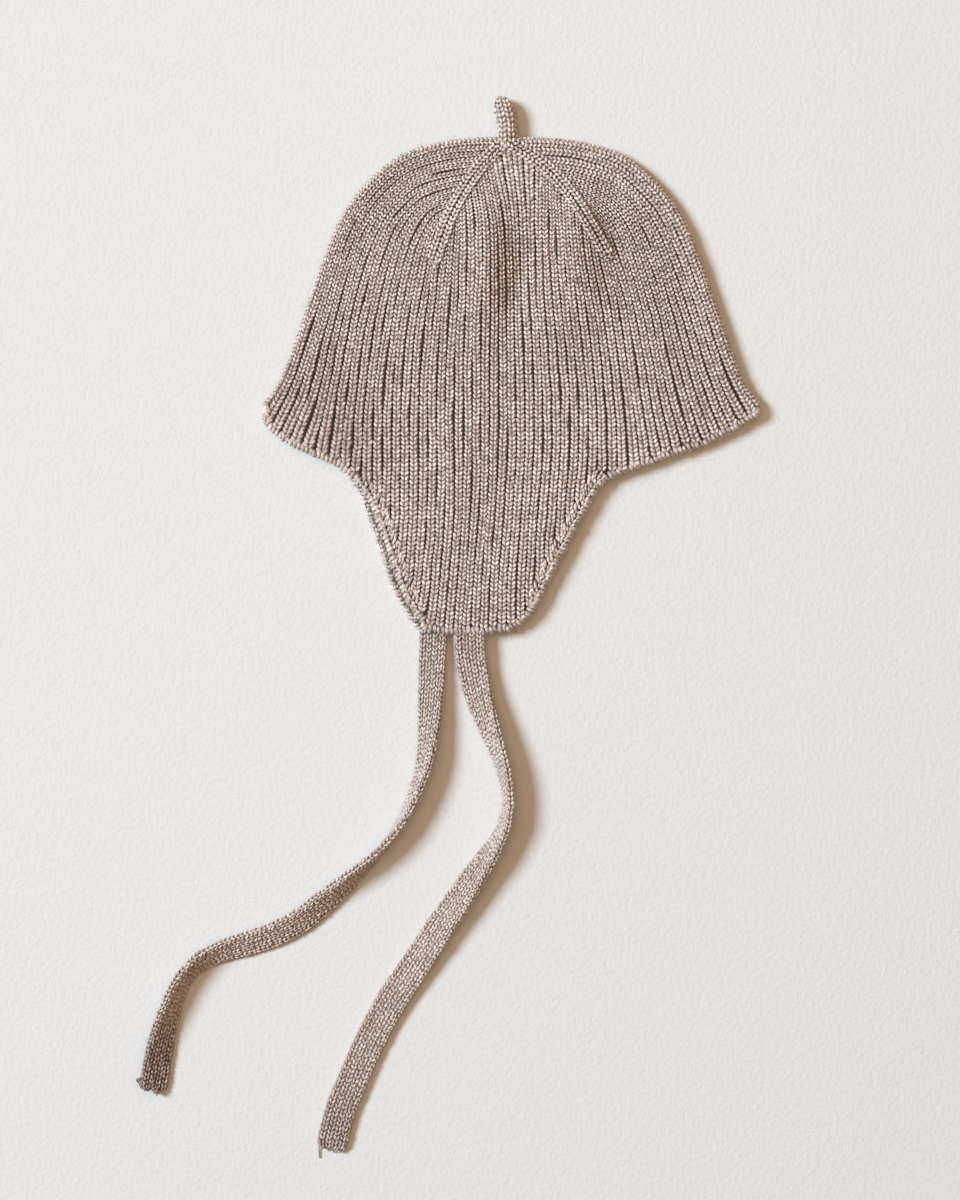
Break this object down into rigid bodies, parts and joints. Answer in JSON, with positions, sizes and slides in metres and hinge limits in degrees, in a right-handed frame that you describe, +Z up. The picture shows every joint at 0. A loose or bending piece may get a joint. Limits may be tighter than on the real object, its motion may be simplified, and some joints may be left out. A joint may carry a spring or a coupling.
{
  "type": "knitted baby hat",
  "caption": "Ribbed knitted baby hat with ear flaps, a short knitted stem on the crown and flat knitted ties, lying folded flat on its side.",
  "frame": {"origin": "on the surface the hat lies on, under the middle of the hat and its stem, ties left out", "axes": "+Z up from the surface, +Y from the ear flaps towards the stem, +X across the hat from fold to fold"},
  "size_m": [0.247, 0.4229, 0.0171],
  "materials": {
    "wool_knit": "matt heathered taupe wool in a fine one by one rib"
  },
  "bodies": {
    "root": {"hat_body": "wool_knit", "top_stem": "wool_knit", "tie_lower": "wool_knit", "tie_upper": "wool_knit"}
  },
  "joints": []
}
